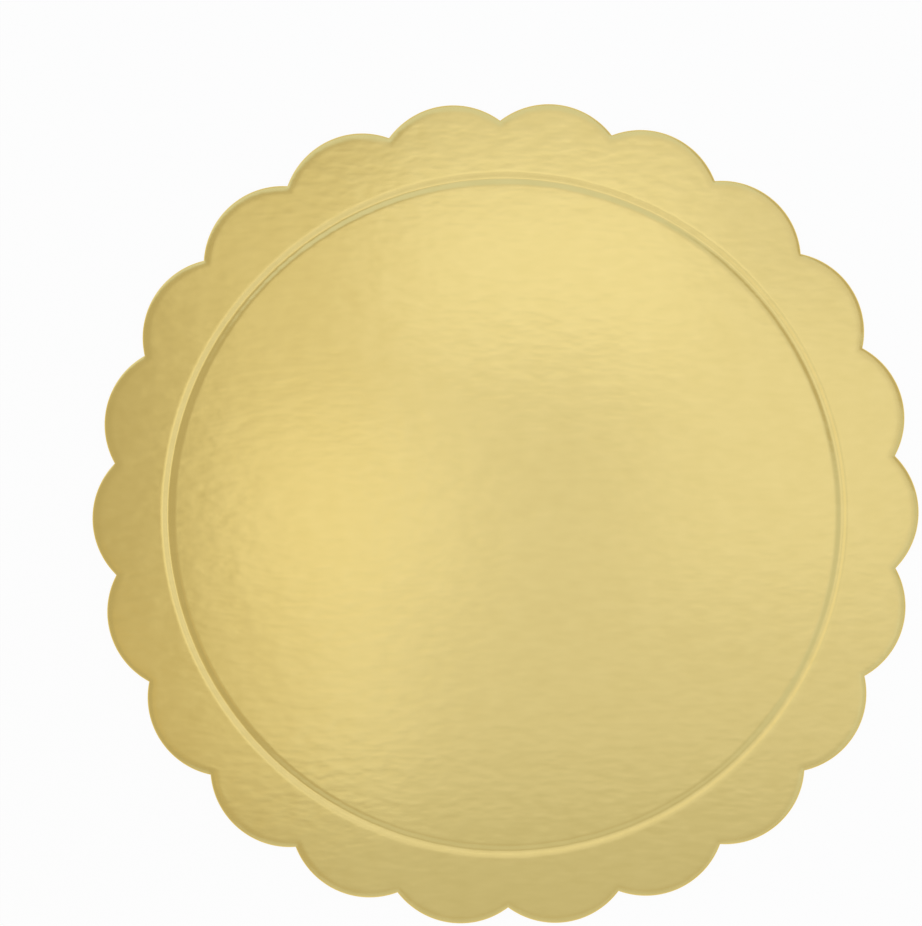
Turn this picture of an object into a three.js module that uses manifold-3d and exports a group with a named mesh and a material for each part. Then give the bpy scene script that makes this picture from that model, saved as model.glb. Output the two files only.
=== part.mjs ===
// A round cake board: one disc of solid paperboard with a metal foil face. The edge is die-cut
// in a ring of scallops, and a shallow groove is pressed into the face round the cake's place.
//
// Millimetres, +Z up. The board lies face up with its underside on Z = 0. The origin is on
// the underside at the middle of the disc, and +X passes through the crest of a scallop.

import * as THREE from "three";
import { mergeVertices } from "three/addons/utils/BufferGeometryUtils.js";
import Module from "manifold-3d";

// Disc
const boardDiameter = 254; // over the crests of two opposite scallops
const boardThickness = 2;

// Scallops, each a true circular arc between two sharp notches
const scallopCount = 22;
const scallopDepth = 5.9; // from the circle through the crests in to the circle through the notches

// Top edge, rolled over by the cutting die
const edgeRollWidth = 2.8; // in plan, from the cut wall in to where the face is flat
const edgeRollDrop = 0.65; // from the face down to where the wall is straight

// Ring groove in the face
const ringInset = 17.6; // from the circle through the notches in to the bottom of the groove
const grooveWidth = 5.8; // from shoulder to shoulder
const grooveDepth = 0.45;

// Facets
const segmentsPerScallop = 16;
const edgeRollSegments = 4;
const grooveSegments = 12; // across the groove
const ringSegments = 176; // round the groove

// How far the blank and the die's stroke run past each other
const cutterOverrun = 1;

const crestRadius = boardDiameter / 2;
const notchRadius = crestRadius - scallopDepth;
const ringRadius = notchRadius - ringInset;

const foilFace = new THREE.MeshStandardMaterial({
  color: 0xead48c,
  roughness: 0.38,
  metalness: 1,
});

const wasm = await Module();
wasm.setup();

// A closed three.js geometry as a solid that can be joined or cut.
function solidFrom(geometry) {
  geometry.deleteAttribute("normal");
  geometry.deleteAttribute("uv");
  const merged = mergeVertices(geometry, 1e-4);
  return new wasm.Manifold(
    new wasm.Mesh({
      numProp: 3,
      vertProperties: merged.attributes.position.array,
      triVerts: new Uint32Array(merged.index.array),
    }),
  );
}

// A finished solid as a three.js geometry with flat facets.
function geometryFrom(solid) {
  const { vertProperties, triVerts } = solid.getMesh();
  const indexed = new THREE.BufferGeometry();
  indexed.setAttribute("position", new THREE.BufferAttribute(vertProperties, 3));
  indexed.setIndex(new THREE.BufferAttribute(triVerts, 1));
  const geometry = indexed.toNonIndexed();
  geometry.computeVertexNormals();
  return geometry;
}

// The die line. The centre of each arc lies on the line from the middle of the board to the
// crest, as far from the crest as it is from the notches on both sides.
function scallopOutline() {
  const halfPitch = Math.PI / scallopCount;
  const notchAlong = notchRadius * Math.cos(halfPitch); // towards the crest
  const notchAcross = notchRadius * Math.sin(halfPitch);
  const arcCentreRadius = (crestRadius ** 2 - notchRadius ** 2) / (2 * (crestRadius - notchAlong));
  const arcRadius = crestRadius - arcCentreRadius;
  const halfSweep = Math.atan2(notchAcross, notchAlong - arcCentreRadius);

  const outline = new THREE.Shape();
  for (let i = 0; i < scallopCount; i++) {
    const crestAngle = 2 * halfPitch * i;
    outline.absarc(
      arcCentreRadius * Math.cos(crestAngle),
      arcCentreRadius * Math.sin(crestAngle),
      arcRadius,
      crestAngle - halfSweep,
      crestAngle + halfSweep,
      false,
    );
  }
  outline.closePath();
  return outline;
}

// The pressed disc before it is die-cut, turned about Z: a flat underside, and a flat face with
// the ring groove. The groove's section is the fourth power of a cosine: level at its round
// bottom, steepest a sixth of its width to each side, and drawn out to soft shoulders.
function pressedDisc() {
  const outerRadius = crestRadius + cutterOverrun;
  const profile = [
    new THREE.Vector2(0, 0),
    new THREE.Vector2(outerRadius, 0),
    new THREE.Vector2(outerRadius, boardThickness),
  ];
  for (let i = 0; i <= grooveSegments; i++) {
    const across = 0.5 - i / grooveSegments; // from the outer shoulder in to the inner one
    const depth = grooveDepth * Math.cos(Math.PI * across) ** 4;
    profile.push(new THREE.Vector2(ringRadius + across * grooveWidth, boardThickness - depth));
  }
  profile.push(new THREE.Vector2(0, boardThickness));
  const disc = new THREE.LatheGeometry(profile, ringSegments);
  disc.rotateX(Math.PI / 2);
  return solidFrom(disc);
}

// The stroke of the cutting die. Its top end is rolled over down from the face of the board.
// Its lower end is below Z = 0, so the cut board has a square lower edge.
function dieStroke() {
  const stroke = new THREE.ExtrudeGeometry(scallopOutline(), {
    depth: boardThickness - edgeRollDrop + cutterOverrun,
    curveSegments: segmentsPerScallop / 2, // each stands for two segments of an arc
    bevelSize: edgeRollWidth,
    bevelOffset: -edgeRollWidth,
    bevelThickness: edgeRollDrop,
    bevelSegments: edgeRollSegments,
  });
  stroke.translate(0, 0, -cutterOverrun);
  return solidFrom(stroke);
}

const cakeBoard = new THREE.Mesh(geometryFrom(pressedDisc().intersect(dieStroke())), foilFace);
cakeBoard.name = "cake_board";

const group = new THREE.Group();
group.add(cakeBoard);

export default group;
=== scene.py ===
"""A round cake board: solid paperboard with a satin gold foil face.

The edge is die-cut in a ring of scallops and a shallow ring groove is pressed into the face.
The board lies face up on a pale floor under soft studio light, seen from almost straight above.
All lengths are in metres.
"""

from __future__ import annotations

import logging
import math
from dataclasses import dataclass, field
from enum import Enum, IntEnum

import bpy
import numpy as np
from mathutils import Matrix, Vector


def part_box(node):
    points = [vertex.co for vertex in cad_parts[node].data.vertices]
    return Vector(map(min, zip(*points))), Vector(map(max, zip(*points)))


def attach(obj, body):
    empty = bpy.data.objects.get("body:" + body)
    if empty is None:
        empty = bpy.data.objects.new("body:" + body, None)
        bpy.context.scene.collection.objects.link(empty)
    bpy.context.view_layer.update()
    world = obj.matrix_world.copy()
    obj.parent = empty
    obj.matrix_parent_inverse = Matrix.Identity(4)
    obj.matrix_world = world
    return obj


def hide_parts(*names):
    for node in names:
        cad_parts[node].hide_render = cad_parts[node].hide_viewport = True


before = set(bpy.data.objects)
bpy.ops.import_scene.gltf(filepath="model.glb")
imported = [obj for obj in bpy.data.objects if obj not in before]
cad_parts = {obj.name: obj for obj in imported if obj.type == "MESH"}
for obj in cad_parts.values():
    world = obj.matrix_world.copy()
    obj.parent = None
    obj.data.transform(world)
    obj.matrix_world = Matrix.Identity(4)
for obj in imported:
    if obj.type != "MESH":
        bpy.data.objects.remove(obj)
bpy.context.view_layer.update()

log = logging.getLogger("cake_board")

MM = 0.001
NODE = "cake_board"
BODY = "root"

Array = np.ndarray
Colour = tuple[float, float, float]
Point = tuple[float, float, float]

NOISE_MEAN = 0.5


def opaque(colour: Colour) -> tuple[float, float, float, float]:
    """Returns a colour with full alpha, as Blender's colour sockets take it."""
    return (*colour, 1.0)


class Field:
    """A shader socket that takes part in Python arithmetic."""

    def __init__(self, recipe: Recipe, socket: bpy.types.NodeSocket) -> None:
        """Wraps one output socket of a recipe's node.

        Args:
            recipe: the node tree that the socket belongs to.
            socket: the output socket.
        """
        self.recipe = recipe
        self.socket = socket

    def _math(self, operation: str, first: Field | float, second: Field | float) -> Field:
        """Adds one Math node.

        Args:
            operation: the Math node's operation.
            first: the first operand.
            second: the second operand.

        Returns:
            The node's result.
        """
        return self.recipe.node("ShaderNodeMath", {"operation": operation}, {0: first, 1: second})

    def __add__(self, other: Field | float) -> Field:
        """Adds another value."""
        return self._math("ADD", self, other)

    __radd__ = __add__

    def __sub__(self, other: Field | float) -> Field:
        """Takes another value from this one."""
        return self._math("SUBTRACT", self, other)

    def __rsub__(self, other: float) -> Field:
        """Takes this value from a number."""
        return self._math("SUBTRACT", other, self)

    def __mul__(self, other: Field | float) -> Field:
        """Multiplies by another value."""
        return self._math("MULTIPLY", self, other)

    __rmul__ = __mul__


class Recipe:
    """The node tree of one material or of the world, written one node at a time."""

    def __init__(self, owner: bpy.types.Material | bpy.types.World) -> None:
        """Clears the owner's node tree.

        Args:
            owner: the material or world that the nodes are for.
        """
        owner.use_nodes = True
        self.tree = owner.node_tree
        self.tree.nodes.clear()

    def node(self, kind: str, settings: dict | None = None, sockets: dict | None = None,
             output: int | str = 0) -> Field:
        """Adds a node, sets it up and joins its inputs.

        Args:
            kind: the node's type.
            settings: the node's own properties.
            sockets: values or fields for the input sockets, by name or by index.
            output: the output socket to hand back.

        Returns:
            The chosen output, or nothing from a node that has none.
        """
        made = self.tree.nodes.new(kind)
        for name, value in (settings or {}).items():
            setattr(made, name, value)
        for key, value in (sockets or {}).items():
            if isinstance(value, Field):
                self.tree.links.new(value.socket, made.inputs[key])
            else:
                made.inputs[key].default_value = value
        return Field(self, made.outputs[output]) if made.outputs else None

    def place(self) -> Field:
        """Returns the point on the object, in metres."""
        return self.node("ShaderNodeTexCoord", output="Object")

    def stretched(self, place: Field, by: Point) -> Field:
        """Scales a place along each axis.

        Args:
            place: the place to scale.
            by: the factor along X, Y and Z.

        Returns:
            The scaled place.
        """
        return self.node("ShaderNodeVectorMath", {"operation": "MULTIPLY"}, {0: place, 1: by})

    def shifted(self, place: Field, by: Field) -> Field:
        """Moves a place by a vector field.

        Args:
            place: the place to move.
            by: the vector to add.

        Returns:
            The moved place.
        """
        return self.node("ShaderNodeVectorMath", {"operation": "ADD"}, {0: place, 1: by})

    def noise(self, place: Field, grain: float, detail: float = 2.0, output: str = "Fac") -> Field:
        """Adds a noise texture.

        Args:
            place: where the texture is read.
            grain: the width of one grain, in metres.
            detail: how many finer octaves are added.
            output: "Fac" for a value or "Color" for three values.

        Returns:
            The noise, which varies about NOISE_MEAN.
        """
        sockets = {"Vector": place, "Scale": 1.0 / grain, "Detail": detail}
        return self.node("ShaderNodeTexNoise", sockets=sockets, output=output)

    def blend(self, share: Field, low: Colour, high: Colour) -> Field:
        """Mixes two colours.

        Args:
            share: 0 for the low colour, 1 for the high one.
            low: the first colour.
            high: the second colour.

        Returns:
            The mixed colour.
        """
        factor, first, second, result = 0, 6, 7, 2
        sockets = {factor: share, first: opaque(low), second: opaque(high)}
        return self.node("ShaderNodeMix", {"data_type": "RGBA"}, sockets, output=result)

    def bump(self, height: Field) -> Field:
        """Turns a height in metres into a surface normal."""
        return self.node("ShaderNodeBump", sockets={"Strength": 1.0, "Distance": 1.0, "Height": height})

    def surface(self, sockets: dict) -> None:
        """Ends the recipe with a Principled surface.

        Args:
            sockets: values or fields for the shader's inputs.
        """
        self.finish(self.node("ShaderNodeBsdfPrincipled", sockets=sockets))

    def finish(self, shader: Field, kind: str = "ShaderNodeOutputMaterial") -> None:
        """Joins the shader to the output.

        Args:
            shader: the shader to show.
            kind: the type of the output node.
        """
        self.node(kind, sockets={"Surface": shader})


@dataclass(frozen=True)
class FoilFinish:
    """Satin gold foil on paperboard: a fine peel, drawn out sideways into a soft ripple. The colour
    paints the ripple's crests paler, a painted sheen.
    """

    pale: Colour = (0.95, 0.75, 0.275)
    deep: Colour = (0.86, 0.67, 0.225)
    mottle: float = 8 * MM
    roughness: float = 0.23
    roughness_spread: float = 0.03
    ripple_grain: float = 2.6 * MM
    ripple_draw: float = 2.2
    ripple_height: float = 0.078 * MM
    sway_grain: float = 9 * MM
    sway: float = 1.6 * MM
    peel_grain: float = 1.2 * MM
    peel_height: float = 0.006 * MM
    swell_grain: float = 7 * MM
    swell_height: float = 0.055 * MM

    def material(self) -> bpy.types.Material:
        """Makes the material.

        The height is a sum of three noises: a swell as wide as a fingertip, a ripple drawn out
        along X whose lines sway with a wider noise, and a fine peel. The colour mixes a random
        mottle of two golds with that same ripple noise, so its crests are painted paler: a painted
        sheen along its lines.

        Returns:
            The new material.
        """
        made = bpy.data.materials.new("satin_gold_foil")
        recipe = Recipe(made)
        place = recipe.place()
        sway = recipe.noise(place, self.sway_grain, output="Color")
        swayed = recipe.shifted(place, recipe.stretched(sway, (0.0, self.sway, 0.0)))
        drawn = recipe.stretched(swayed, (1.0 / self.ripple_draw, 1.0, 1.0))
        ripple_and_sheen = recipe.noise(drawn, self.ripple_grain, detail=1.0)
        height = (
            self.ripple_height * ripple_and_sheen
            + self.peel_height * recipe.noise(place, self.peel_grain)
            + self.swell_height * recipe.noise(place, self.swell_grain, detail=1.0)
        )
        patches = recipe.noise(place, self.mottle)
        recipe.surface({
            # Half the colour is a random mottle of two golds, and half follows the ripple's height: a
            # painted sheen on its crests.
            "Base Color": recipe.blend(0.5 * (patches + ripple_and_sheen), self.deep, self.pale),
            "Metallic": 1.0,
            "Roughness": self.roughness + self.roughness_spread * (patches - NOISE_MEAN),
            "Normal": recipe.bump(height),
        })
        return made


@dataclass(frozen=True)
class CoreFinish:
    """The cut edge of the paperboard: grey fibre in thin layers, a little torn."""

    pale: Colour = (0.60, 0.56, 0.49)
    deep: Colour = (0.40, 0.37, 0.32)
    roughness: float = 0.92
    layer: float = 0.16 * MM
    layer_draw: float = 24.0
    fibre_height: float = 0.04 * MM

    def material(self) -> bpy.types.Material:
        """Makes the material: one noise, drawn out along the board, colours and lifts the layers.

        Returns:
            The new material.
        """
        made = bpy.data.materials.new("paperboard_core")
        recipe = Recipe(made)
        along = 1.0 / self.layer_draw
        drawn = recipe.stretched(recipe.place(), (along, along, 1.0))
        layers = recipe.noise(drawn, self.layer, detail=4.0)
        recipe.surface({
            "Base Color": recipe.blend(layers, self.deep, self.pale),
            "Roughness": self.roughness,
            "Normal": recipe.bump(self.fibre_height * layers),
        })
        return made


@dataclass(frozen=True)
class BackFinish:
    """The plain paper back: uncoated, pale grey, with short fibres and faint clouds."""

    pale: Colour = (0.70, 0.68, 0.63)
    deep: Colour = (0.58, 0.56, 0.51)
    roughness: float = 0.9
    cloud: float = 6 * MM
    fibre: float = 0.35 * MM
    fibre_draw: float = 5.0
    fibre_height: float = 0.012 * MM

    def material(self) -> bpy.types.Material:
        """Makes the material: clouds and fibres share the colour, and the fibres lift it.

        Returns:
            The new material.
        """
        made = bpy.data.materials.new("uncoated_paper_back")
        recipe = Recipe(made)
        place = recipe.place()
        clouds = recipe.noise(place, self.cloud)
        drawn = recipe.stretched(place, (1.0 / self.fibre_draw, 1.0, 1.0))
        fibres = recipe.noise(drawn, self.fibre, detail=4.0)
        recipe.surface({
            "Base Color": recipe.blend(0.5 * (clouds + fibres), self.deep, self.pale),
            "Roughness": self.roughness,
            "Normal": recipe.bump(self.fibre_height * fibres),
        })
        return made


@dataclass(frozen=True)
class FloorFinish:
    """A white sweep that keeps the board's shadow faint."""

    paper: Colour = (0.85, 0.85, 0.85)
    own_white: float = 0.95

    def material(self) -> bpy.types.Material:
        """Makes the material: the camera and the foil see mostly plain white, and the rest is lit.

        Returns:
            The new material.
        """
        made = bpy.data.materials.new("white_sweep")
        recipe = Recipe(made)
        lit = recipe.node("ShaderNodeBsdfDiffuse", sockets={"Color": opaque(self.paper)})
        white = recipe.node("ShaderNodeEmission", sockets={"Color": opaque((1.0, 1.0, 1.0))})
        rays = ("Is Camera Ray", "Is Glossy Ray", "Is Transmission Ray")
        seen = sum(recipe.node("ShaderNodeLightPath", output=ray) for ray in rays)
        share = self.own_white * seen
        recipe.finish(recipe.node("ShaderNodeMixShader", sockets={0: share, 1: lit, 2: white}))
        return made


class Skin(IntEnum):
    """The board's material slots, in the order that its faces use."""

    FOIL = 0
    CORE = 1
    BACK = 2


@dataclass(frozen=True)
class Scallops:
    """The die line: equal circular arcs round the board, which meet in sharp notches."""

    crest_radius: float
    depth: float = 5.9 * MM
    count: int = 22

    @property
    def half_pitch(self) -> float:
        """The angle from a crest to the next notch."""
        return math.pi / self.count

    @property
    def notch_radius(self) -> float:
        """The distance of a notch from the middle of the board."""
        return self.crest_radius - self.depth

    @property
    def centre_radius(self) -> float:
        """The distance of an arc's centre from the middle, as far from the crest as from a notch."""
        along = self.notch_radius * math.cos(self.half_pitch)
        return (self.crest_radius**2 - self.notch_radius**2) / (2 * (self.crest_radius - along))

    @property
    def arc_radius(self) -> float:
        """The radius of one arc."""
        return self.crest_radius - self.centre_radius

    def folded(self, angle: Array) -> Array:
        """Returns angles as measured from the nearest crest."""
        pitch = 2 * self.half_pitch
        return (angle + self.half_pitch) % pitch - self.half_pitch

    def radius_at(self, angle: Array) -> Array:
        """Gives the outline's distance from the middle of the board.

        A ray from the middle meets the arc at the arc centre's share along the ray, plus the root
        of the arc radius squared less the square of the centre's share across the ray.

        Args:
            angle: directions from the middle of the board.

        Returns:
            The distance in each direction.
        """
        turn = self.folded(angle)
        across = self.centre_radius * np.sin(turn)
        return self.centre_radius * np.cos(turn) + np.sqrt(self.arc_radius**2 - across**2)

    def inset_at(self, radius: Array, angle: Array) -> Array:
        """Gives the distance from points of the board to the nearest point of its outline.

        Beside an arc that is the arc radius less the distance to the arc's centre, and beyond the
        arc's ends it is the distance to the notch.

        Args:
            radius: the points' distances from the middle.
            angle: the points' directions from the middle.

        Returns:
            The distances, never below zero.
        """
        turn = np.abs(self.folded(angle))
        along = radius * np.cos(turn)
        across = radius * np.sin(turn)
        notch_along = self.notch_radius * math.cos(self.half_pitch)
        notch_across = self.notch_radius * math.sin(self.half_pitch)
        sweep = math.atan2(notch_across, notch_along - self.centre_radius)
        to_arc = self.arc_radius - np.hypot(along - self.centre_radius, across)
        to_notch = np.hypot(along - notch_along, across - notch_across)
        beside_arc = np.arctan2(across, along - self.centre_radius) <= sweep
        return np.maximum(np.where(beside_arc, to_arc, to_notch), 0.0)


@dataclass(frozen=True)
class EdgeRoll:
    """The top edge, rolled over by the die: a quarter of an ellipse, upright at the cut."""

    width: float = 2.8 * MM
    drop: float = 0.65 * MM

    def sink(self, inset: Array) -> Array:
        """Gives how far the face lies below its flat level.

        The sink is the drop times one less the height of a unit quarter circle, read at the share
        of the width that is left to the flat.

        Args:
            inset: distances in from the outline.

        Returns:
            The sink at each distance, zero past the roll's width.
        """
        left = np.clip(1.0 - inset / self.width, 0.0, 1.0)
        return self.drop * (1.0 - np.sqrt(1.0 - left**2))


@dataclass(frozen=True)
class Groove:
    """The pressed ring: a round bottom, steep walls near it and soft, drawn-out shoulders."""

    radius: float
    width: float = 5.8 * MM
    depth: float = 0.45 * MM

    def sink(self, radius: Array) -> Array:
        """Gives how far the face lies below its flat level.

        Args:
            radius: distances from the middle of the board.

        Returns:
            The depth times the fourth power of the cosine across the groove, zero outside it.
        """
        across = np.clip((radius - self.radius) / self.width, -0.5, 0.5)
        return self.depth * np.cos(math.pi * across) ** 4


@dataclass(frozen=True)
class Waviness:
    """How a pressed board departs from a true plane: a few long, shallow waves."""

    height: float = 0.03 * MM
    lengths: tuple[float, ...] = (61 * MM, 43 * MM, 34 * MM, 26 * MM)
    headings: tuple[float, ...] = (1.35, 1.9, 0.4, 1.62)
    phases: tuple[float, ...] = (0.3, 2.1, 4.4, 5.2)

    def sink(self, x: Array, y: Array) -> Array:
        """Gives how far the surface lies below its highest level.

        Each wave is a sine along its heading, and their mean is moved to lie between zero and the
        height.

        Args:
            x: positions along X.
            y: positions along Y.

        Returns:
            The sink, from zero to the full height.
        """
        total = np.zeros_like(x)
        for length, heading, phase in zip(self.lengths, self.headings, self.phases):
            along = x * math.cos(heading) + y * math.sin(heading)
            total += np.sin(2 * math.pi * along / length + phase)
        return 0.5 * self.height * (1.0 - total / len(self.lengths))


@dataclass
class CakeBoard:
    """The whole board as one closed mesh: face, groove, rolled edge, cut wall and back."""

    crest_radius: float
    thickness: float
    ring_inset: float = 17.6 * MM
    columns_per_scallop: int = 32
    centre_rows: int = 40
    groove_rows: int = 24
    rim_rows: int = 10
    roll_rows: int = 14
    wall_rows: int = 6
    back_rows: int = 8
    reach_per_roll: float = 1.5
    calm_per_roll: float = 4.0
    cut_fuzz: float = 0.03 * MM
    fuzz_rounds: tuple[int, int] = (211, 97)
    fuzz_slants: tuple[float, float] = (3.0, 7.0)
    sharp_angle: float = math.radians(40)
    scallops: Scallops = field(init=False)
    groove: Groove = field(init=False)
    roll: EdgeRoll = field(default_factory=EdgeRoll)
    waviness: Waviness = field(default_factory=Waviness)

    def __post_init__(self) -> None:
        """Works out the die line and the groove from the board's own sizes."""
        self.scallops = Scallops(self.crest_radius)
        self.groove = Groove(self.scallops.notch_radius - self.ring_inset)

    @property
    def columns(self) -> int:
        """How many points lie round the board in each row."""
        return self.scallops.count * self.columns_per_scallop

    def angles(self) -> Array:
        """Returns the directions of the columns, with one on each crest and each notch."""
        return np.arange(self.columns) * (2 * math.pi / self.columns)

    def face_radii(self) -> Array:
        """Works out where the rows of the face cross each column.

        From the middle to the groove's outer shoulder the rows are circles. From there they turn
        by equal steps into the outline, and over the rolled edge they close up as the sine does.

        Returns:
            A grid of radii, one row for each ring of points, without the middle point.
        """
        inner = self.groove.radius - self.groove.width / 2
        outer = self.groove.radius + self.groove.width / 2
        centre = np.linspace(0.0, inner, self.centre_rows + 1)[1:-1]
        across = np.linspace(inner, outer, self.groove_rows + 1)
        circles = np.concatenate([centre, across])[:, None] * np.ones(self.columns)

        outline = self.scallops.radius_at(self.angles())[None, :]
        roll_reach = self.reach_per_roll * self.roll.width
        shares = np.linspace(0.0, 1.0, self.rim_rows + 1)[1:, None]
        rim = outer + (outline - roll_reach - outer) * shares
        lean = np.linspace(0.0, math.pi / 2, self.roll_rows + 1)[1:, None]
        rolled = outline - roll_reach * (1.0 - np.sin(lean))
        return np.concatenate([circles, rim, rolled])

    def face_points(self) -> Array:
        """Works out the face.

        The height is the thickness less the sinks of the groove, the rolled edge and the waves.
        The waves fade out on the way to the outline, so that the cut stays level.

        Returns:
            Points as rows, columns and coordinates.
        """
        radius = self.face_radii()
        angle = np.broadcast_to(self.angles(), radius.shape)
        x, y = radius * np.cos(angle), radius * np.sin(angle)
        inset = self.scallops.inset_at(radius, angle)
        calm = np.clip(inset / (self.calm_per_roll * self.roll.width), 0.0, 1.0)
        sinks = self.groove.sink(radius) + self.roll.sink(inset) + calm * self.waviness.sink(x, y)
        return np.stack([x, y, self.thickness - sinks], axis=-1)

    def wall_points(self) -> Array:
        """Works out the cut wall, from below the rolled edge down to the lower edge.

        Each point lies on the outline, less a fuzz that is a product of two sines, each of which
        runs round the board and slants down the wall. The fuzz ends at the wall's two edges.

        Returns:
            Points as rows, columns and coordinates.
        """
        angle = self.angles()[None, :]
        top = self.thickness - self.roll.drop
        level = np.linspace(top, 0.0, self.wall_rows + 1)[1:, None]
        depth = 1.0 - level / top
        fuzz = np.ones_like(angle + depth)
        for rounds, slant in zip(self.fuzz_rounds, self.fuzz_slants):
            fuzz *= np.sin(rounds * angle + slant * depth)
        torn = 0.5 * self.cut_fuzz * (1.0 + fuzz) * np.sin(math.pi * depth)
        radius = self.scallops.radius_at(angle) - torn
        x, y = radius * np.cos(angle), radius * np.sin(angle)
        return np.stack([x, y, np.broadcast_to(level, radius.shape)], axis=-1)

    def back_points(self) -> Array:
        """Works out the flat back, as copies of the outline that shrink to the middle.

        Returns:
            Points as rows, columns and coordinates, without the middle point.
        """
        angle = self.angles()[None, :]
        share = np.linspace(1.0, 0.0, self.back_rows + 1)[1:-1, None]
        radius = share * self.scallops.radius_at(angle)
        flat = np.zeros_like(radius)
        return np.stack([radius * np.cos(angle), radius * np.sin(angle), flat], axis=-1)

    def mesh(self) -> bpy.types.Mesh:
        """Joins the rows into one closed mesh.

        Rows run from the middle of the face out, down the wall and in to the middle of the back.
        Each pair of rows is joined by four-sided faces, and each end by a fan of triangles.

        Returns:
            The mesh, with a material index on each face and its sharp edges marked.
        """
        face = self.face_points()
        wall = self.wall_points()
        back = self.back_points()
        rows = np.concatenate([face, wall, back])
        count = len(rows)
        middle_sink = self.waviness.sink(np.zeros(1), np.zeros(1))[0]
        ends = np.array([[0.0, 0.0, self.thickness - middle_sink], [0.0, 0.0, 0.0]])
        points = np.concatenate([rows.reshape(-1, 3), ends])

        ids = np.arange(count * self.columns).reshape(count, self.columns)
        inner, outer = ids[:-1], ids[1:]
        quads = np.stack([inner, outer, np.roll(outer, -1, 1), np.roll(inner, -1, 1)], axis=-1)
        top, bottom = len(points) - 2, len(points) - 1
        first, last = ids[0], ids[-1]
        fan_top = np.stack([np.full_like(first, top), first, np.roll(first, -1)], axis=-1)
        fan_back = np.stack([np.full_like(last, bottom), np.roll(last, -1), last], axis=-1)

        band_skins = np.full(count - 1, Skin.BACK)
        band_skins[:len(face) + len(wall) - 1] = Skin.CORE
        band_skins[:len(face) - 1] = Skin.FOIL
        skins = np.concatenate([
            np.repeat(band_skins, self.columns),
            np.full(self.columns, Skin.FOIL),
            np.full(self.columns, Skin.BACK),
        ])

        made = bpy.data.meshes.new("cake_board_sheet")
        faces = quads.reshape(-1, 4).tolist() + fan_top.tolist() + fan_back.tolist()
        made.from_pydata(points, [], faces)
        made.polygons.foreach_set("material_index", skins.astype(np.int32))
        made.polygons.foreach_set("use_smooth", np.ones(len(faces), dtype=bool))
        made.set_sharp_from_angle(angle=self.sharp_angle)
        made.update()
        return made

    def build(self) -> bpy.types.Object:
        """Makes the piece, which takes the place of the plain solid.

        Returns:
            The dressed piece.
        """
        piece = bpy.data.objects.new("cake_board_sheet", self.mesh())
        bpy.context.scene.collection.objects.link(piece)
        for finish in (FoilFinish(), CoreFinish(), BackFinish()):
            piece.data.materials.append(finish.material())
        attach(piece, BODY)
        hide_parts(NODE)
        return piece


class Tint(Enum):
    """The tints of the soft lights, from warm to cool."""

    WARM = (1.2, 0.95, 0.5)
    CLEAR = (0.96, 1.02, 1.2)
    PALE = (0.86, 1.05, 1.7)
    COOL = (0.68, 1.08, 2.0)


@dataclass(frozen=True)
class SoftBox:
    """One soft light, which hangs level and shines straight down.

    Its glow is how bright it looks, where 1 is white paper in full light. A flat lamp of that glow
    gives pi times its area in watts.
    """

    name: str
    place: Point
    width: float
    depth: float
    glow: float
    tint: Tint

    def build(self) -> None:
        """Hangs the light."""
        lamp = bpy.data.lights.new(self.name, "AREA")
        lamp.shape = "RECTANGLE"
        lamp.size = self.width
        lamp.size_y = self.depth
        lamp.energy = self.glow * math.pi * self.width * self.depth
        lamp.color = self.tint.value
        holder = bpy.data.objects.new(self.name, lamp)
        holder.location = self.place
        bpy.context.scene.collection.objects.link(holder)


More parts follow.
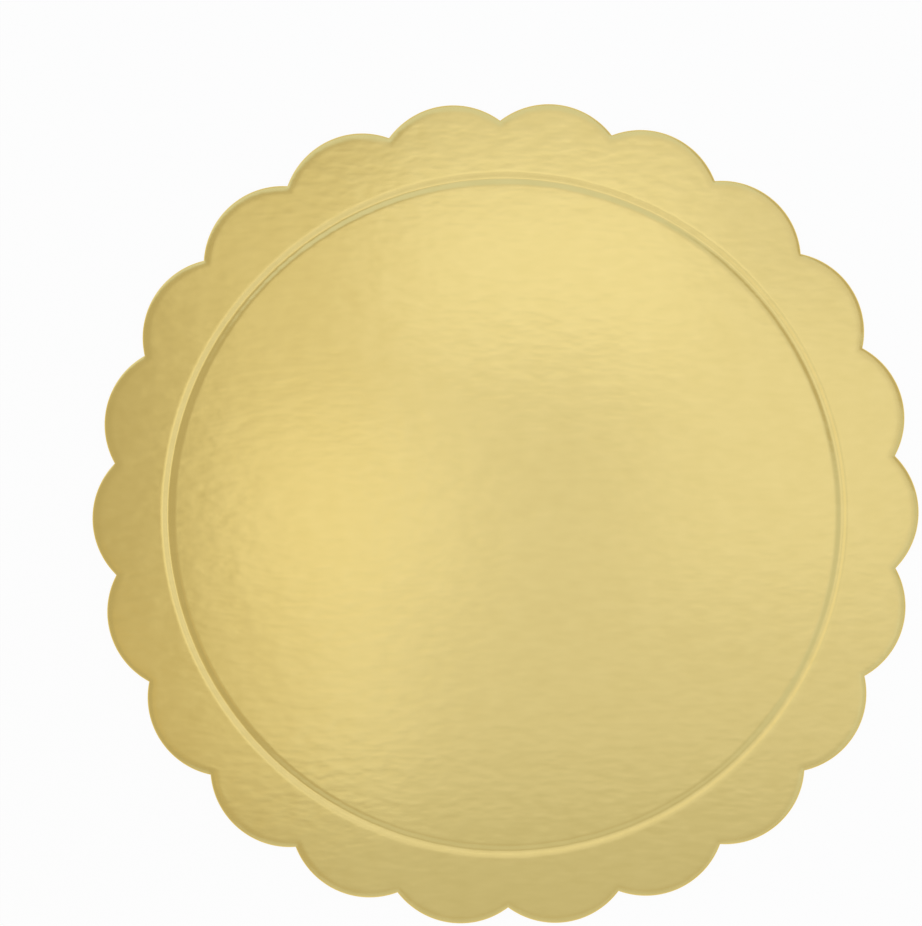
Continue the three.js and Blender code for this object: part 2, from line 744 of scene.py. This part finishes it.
@dataclass(frozen=True)
class Studio:
    """The floor, the light and the camera.

    Boxes that overlap in plan hang a few millimetres apart, because lamps at one height hide each
    other in a reflection. The haze's foot and top are sines of heights above the horizon.
    """

    board_top: float
    floor_size: float = 8.0
    floor_gap: float = 0.05 * MM
    surround: Colour = (0.53, 0.50, 0.43)
    horizon: Colour = (0.88, 0.85, 0.75)
    haze_foot: float = 0.1
    haze_top: float = 0.77
    lights: tuple[SoftBox, ...] = (
        SoftBox("middle_box", (0.10, 0.075, 0.300), 0.30, 0.25, 0.27, Tint.PALE),
        SoftBox("left_box", (-0.088, -0.038, 0.303), 0.075, 0.175, 0.29, Tint.CLEAR),
        SoftBox("small_left_box", (-0.070, -0.013, 0.306), 0.10, 0.075, 0.20, Tint.CLEAR),
        SoftBox("upper_box", (-0.030, 0.088, 0.309), 0.21, 0.075, 0.27, Tint.CLEAR),
        SoftBox("lower_box", (0.075, -0.088, 0.312), 0.30, 0.075, 0.27, Tint.PALE),
        SoftBox("small_right_box", (0.113, 0.013, 0.315), 0.125, 0.125, 0.14, Tint.CLEAR),
        SoftBox("near_box", (0.07, -0.175, 0.318), 0.33, 0.10, 0.12, Tint.COOL),
        SoftBox("far_left_box", (-0.188, -0.10, 0.303), 0.075, 0.10, 0.10, Tint.WARM),
        SoftBox("right_box", (0.35, -0.15, 0.300), 0.30, 0.40, 0.20, Tint.COOL),
        SoftBox("back_box", (-0.225, 0.35, 0.303), 0.85, 0.30, 0.29, Tint.COOL),
        SoftBox("front_box", (0.0, -0.45, 0.300), 0.50, 0.40, 0.15, Tint.COOL),
    )
    eye: Point = (0.0137, 0.0508, 1.0)
    eye_turn: Point = (-1.9877, 1.5126, -0.6085)
    image_width: float = 922
    focal_pixels: float = 3258.8
    sensor_width: float = 36.0

    def build_floor(self) -> None:
        """Lays a large white floor just under the board, as one four-sided face."""
        half = self.floor_size / 2
        plan = [(-half, -half), (half, -half), (half, half), (-half, half)]
        corners = [(x, y, -self.floor_gap) for x, y in plan]
        mesh = bpy.data.meshes.new("white_floor")
        mesh.from_pydata(corners, [], [(0, 1, 2, 3)])
        mesh.materials.append(FloorFinish().material())
        floor = bpy.data.objects.new("white_floor", mesh)
        bpy.context.scene.collection.objects.link(floor)

    def build_light(self) -> None:
        """Hangs the soft boxes in an even surround, which grows pale down towards the horizon."""
        for light in self.lights:
            light.build()
        world = bpy.data.worlds.new("pale_surround")
        recipe = Recipe(world)
        heading = recipe.node("ShaderNodeTexCoord", output="Generated")
        rise = recipe.node("ShaderNodeSeparateXYZ", sockets={"Vector": heading}, output="Z")
        reach = {"Value": rise, "From Min": self.haze_foot, "From Max": self.haze_top}
        height = recipe.node("ShaderNodeMapRange", {"interpolation_type": "SMOOTHSTEP"}, reach)
        shade = recipe.blend(height, self.horizon, self.surround)
        glow = recipe.node("ShaderNodeBackground", sockets={"Color": shade})
        recipe.finish(glow, "ShaderNodeOutputWorld")
        bpy.context.scene.world = world

    def build_camera(self) -> None:
        """Sets the camera above the board, turned a little away from straight down."""
        lens = bpy.data.cameras.new("camera_above")
        lens.sensor_fit = "HORIZONTAL"
        lens.sensor_width = self.sensor_width
        lens.lens = self.focal_pixels / self.image_width * self.sensor_width
        holder = bpy.data.objects.new("camera_above", lens)
        holder.location = (self.eye[0], self.eye[1], self.board_top + self.eye[2])
        holder.rotation_euler = [math.radians(turn) for turn in self.eye_turn]
        bpy.context.scene.collection.objects.link(holder)
        bpy.context.scene.camera = holder

    def build(self) -> None:
        """Sets up the whole studio."""
        self.build_floor()
        self.build_light()
        self.build_camera()
        bpy.context.scene.view_settings.view_transform = "Standard"


def main() -> None:
    """Builds the board from the frame's own sizes, then the studio, and logs the piece's face count."""
    logging.basicConfig(level=logging.INFO, format="%(name)s: %(message)s")
    low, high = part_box(NODE)
    board = CakeBoard(crest_radius=high[0], thickness=high[2] - low[2])
    piece = board.build()
    log.info("%s has %d faces", piece.name, len(piece.data.polygons))
    Studio(board_top=high[2]).build()
    log.info("floor, light and camera are set")


if __name__ == "__main__":
    main()
